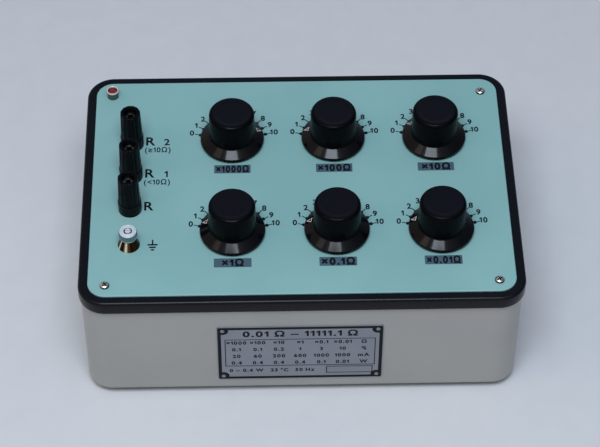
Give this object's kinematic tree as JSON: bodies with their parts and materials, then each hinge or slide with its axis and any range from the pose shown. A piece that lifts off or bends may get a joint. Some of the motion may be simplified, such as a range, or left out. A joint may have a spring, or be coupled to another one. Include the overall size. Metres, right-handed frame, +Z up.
{
  "type": "decade resistance box",
  "caption": "Bench resistance box with skirted step dials, binding posts and an earth terminal on a flat panel in a black bezel over a pale case.",
  "frame": {"origin": "on the table under the middle of the box", "axes": "+X along the width to the right, +Y from the front with the plate to the back, +Z up through the dials"},
  "size_m": [0.296, 0.208, 0.1315],
  "materials": {
    "case_grey": "satin pale grey paint",
    "bezel_black": "moulded black, soft gloss",
    "panel_blue": "fine matt pale blue-green",
    "nickel": "bright nickel plate",
    "seal_red": "poured sealing wax",
    "rubber": "moulded rubber",
    "plate_silver": "satin anodised with printed lines",
    "brass": "turned brass",
    "laminate": "phenolic laminate",
    "spring_steel": "ground steel",
    "bobbin_cream": "moulded bobbin",
    "winding_wire": "enamelled resistance wire",
    "copper": "tinned copper wire",
    "terminal_black": "moulded black, soft gloss",
    "knob_black": "moulded black, polished skirt"
  },
  "bodies": {
    "root": {"case": "case_grey", "bezel": "bezel_black", "panel": "panel_blue", "panel_screws": "nickel", "seal_cup": "nickel", "seal_wax": "seal_red", "feet": "rubber", "foot_screws": "nickel", "nameplate": "plate_silver", "nameplate_rivets": "nickel", "switch_bushes": "brass", "bush_nuts": "nickel", "plate_pillars": "brass", "pillar_screws": "nickel", "contact_plates": "laminate", "contact_studs": "brass", "collector_arcs": "brass", "detent_springs": "spring_steel", "coil_bobbins": "bobbin_cream", "coil_windings": "winding_wire", "bus_wires": "copper", "post_collars": "terminal_black", "post_washers": "terminal_black", "post_studs": "nickel", "post_nuts": "nickel", "earth_post": "brass", "earth_lock_nut": "nickel"},
    "dial_x1000": {"knob_x1000": "knob_black", "knob_screw_x1000": "nickel", "spindle_x1000": "spring_steel", "wiper_x1000": "brass"},
    "dial_x100": {"knob_x100": "knob_black", "knob_screw_x100": "nickel", "spindle_x100": "spring_steel", "wiper_x100": "brass"},
    "dial_x10": {"knob_x10": "knob_black", "knob_screw_x10": "nickel", "spindle_x10": "spring_steel", "wiper_x10": "brass"},
    "dial_x1": {"knob_x1": "knob_black", "knob_screw_x1": "nickel", "spindle_x1": "spring_steel", "wiper_x1": "brass"},
    "dial_x0p1": {"knob_x0p1": "knob_black", "knob_screw_x0p1": "nickel", "spindle_x0p1": "spring_steel", "wiper_x0p1": "brass"},
    "dial_x0p01": {"knob_x0p01": "knob_black", "knob_screw_x0p01": "nickel", "spindle_x0p01": "spring_steel", "wiper_x0p01": "brass"},
    "insert_r2": {"post_insert_r2": "brass"},
    "cap_r2": {"post_cap_r2": "terminal_black"},
    "insert_r1": {"post_insert_r1": "brass"},
    "cap_r1": {"post_cap_r1": "terminal_black"},
    "insert_r": {"post_insert_r": "brass"},
    "cap_r": {"post_cap_r": "terminal_black"},
    "earth_washer": {"earth_washer": "nickel"},
    "earth_nut": {"earth_nut": "nickel"}
  },
  "joints": [
    {"name": "dial_x1000_turn", "type": "hinge", "parent": "root", "child": "dial_x1000", "pos_m": [-0.0458, 0.04, 0.1], "axis": [0, 0, -1], "range_deg": [-150, 0]},
    {"name": "dial_x100_turn", "type": "hinge", "parent": "root", "child": "dial_x100", "pos_m": [0.0242, 0.04, 0.1], "axis": [0, 0, -1], "range_deg": [0, 150]},
    {"name": "dial_x10_turn", "type": "hinge", "parent": "root", "child": "dial_x10", "pos_m": [0.0942, 0.04, 0.1], "axis": [0, 0, -1], "range_deg": [-15, 135]},
    {"name": "dial_x1_turn", "type": "hinge", "parent": "root", "child": "dial_x1", "pos_m": [-0.0458, -0.044, 0.1], "axis": [0, 0, -1], "range_deg": [0, 150]},
    {"name": "dial_x0p1_turn", "type": "hinge", "parent": "root", "child": "dial_x0p1", "pos_m": [0.0242, -0.044, 0.1], "axis": [0, 0, -1], "range_deg": [0, 150]},
    {"name": "dial_x0p01_turn", "type": "hinge", "parent": "root", "child": "dial_x0p01", "pos_m": [0.0942, -0.044, 0.1], "axis": [0, 0, -1], "range_deg": [0, 150]},
    {"name": "cap_r2_rise", "type": "slide", "parent": "root", "child": "insert_r2", "axis": [0, 0, 1], "range_m": [0, 0.004]},
    {"name": "cap_r2_turn", "type": "hinge", "parent": "insert_r2", "child": "cap_r2", "pos_m": [-0.115, 0.0384, 0.1], "axis": [0, 0, 1], "range_deg": [0, 1810]},
    {"name": "cap_r1_rise", "type": "slide", "parent": "root", "child": "insert_r1", "axis": [0, 0, 1], "range_m": [0, 0.004]},
    {"name": "cap_r1_turn", "type": "hinge", "parent": "insert_r1", "child": "cap_r1", "pos_m": [-0.115, 0.0084, 0.1], "axis": [0, 0, 1], "range_deg": [0, 1810]},
    {"name": "cap_r_rise", "type": "slide", "parent": "root", "child": "insert_r", "axis": [0, 0, 1], "range_m": [0, 0.004]},
    {"name": "cap_r_turn", "type": "hinge", "parent": "insert_r", "child": "cap_r", "pos_m": [-0.115, -0.0216, 0.1], "axis": [0, 0, 1], "range_deg": [0, 1810]},
    {"name": "earth_nut_rise", "type": "slide", "parent": "root", "child": "earth_washer", "axis": [0, 0, 1], "range_m": [0, 0.0024]},
    {"name": "earth_nut_turn", "type": "hinge", "parent": "earth_washer", "child": "earth_nut", "pos_m": [-0.115, -0.0534, 0.1], "axis": [0, 0, 1], "range_deg": [0, 1090]}
  ],
  "couplings": [
    {"joint": "cap_r2_turn", "follows": "cap_r2_rise", "rad_per_m": 7854},
    {"joint": "cap_r1_turn", "follows": "cap_r1_rise", "rad_per_m": 7854},
    {"joint": "cap_r_turn", "follows": "cap_r_rise", "rad_per_m": 7854},
    {"joint": "earth_nut_turn", "follows": "earth_nut_rise", "rad_per_m": 7854}
  ]
}
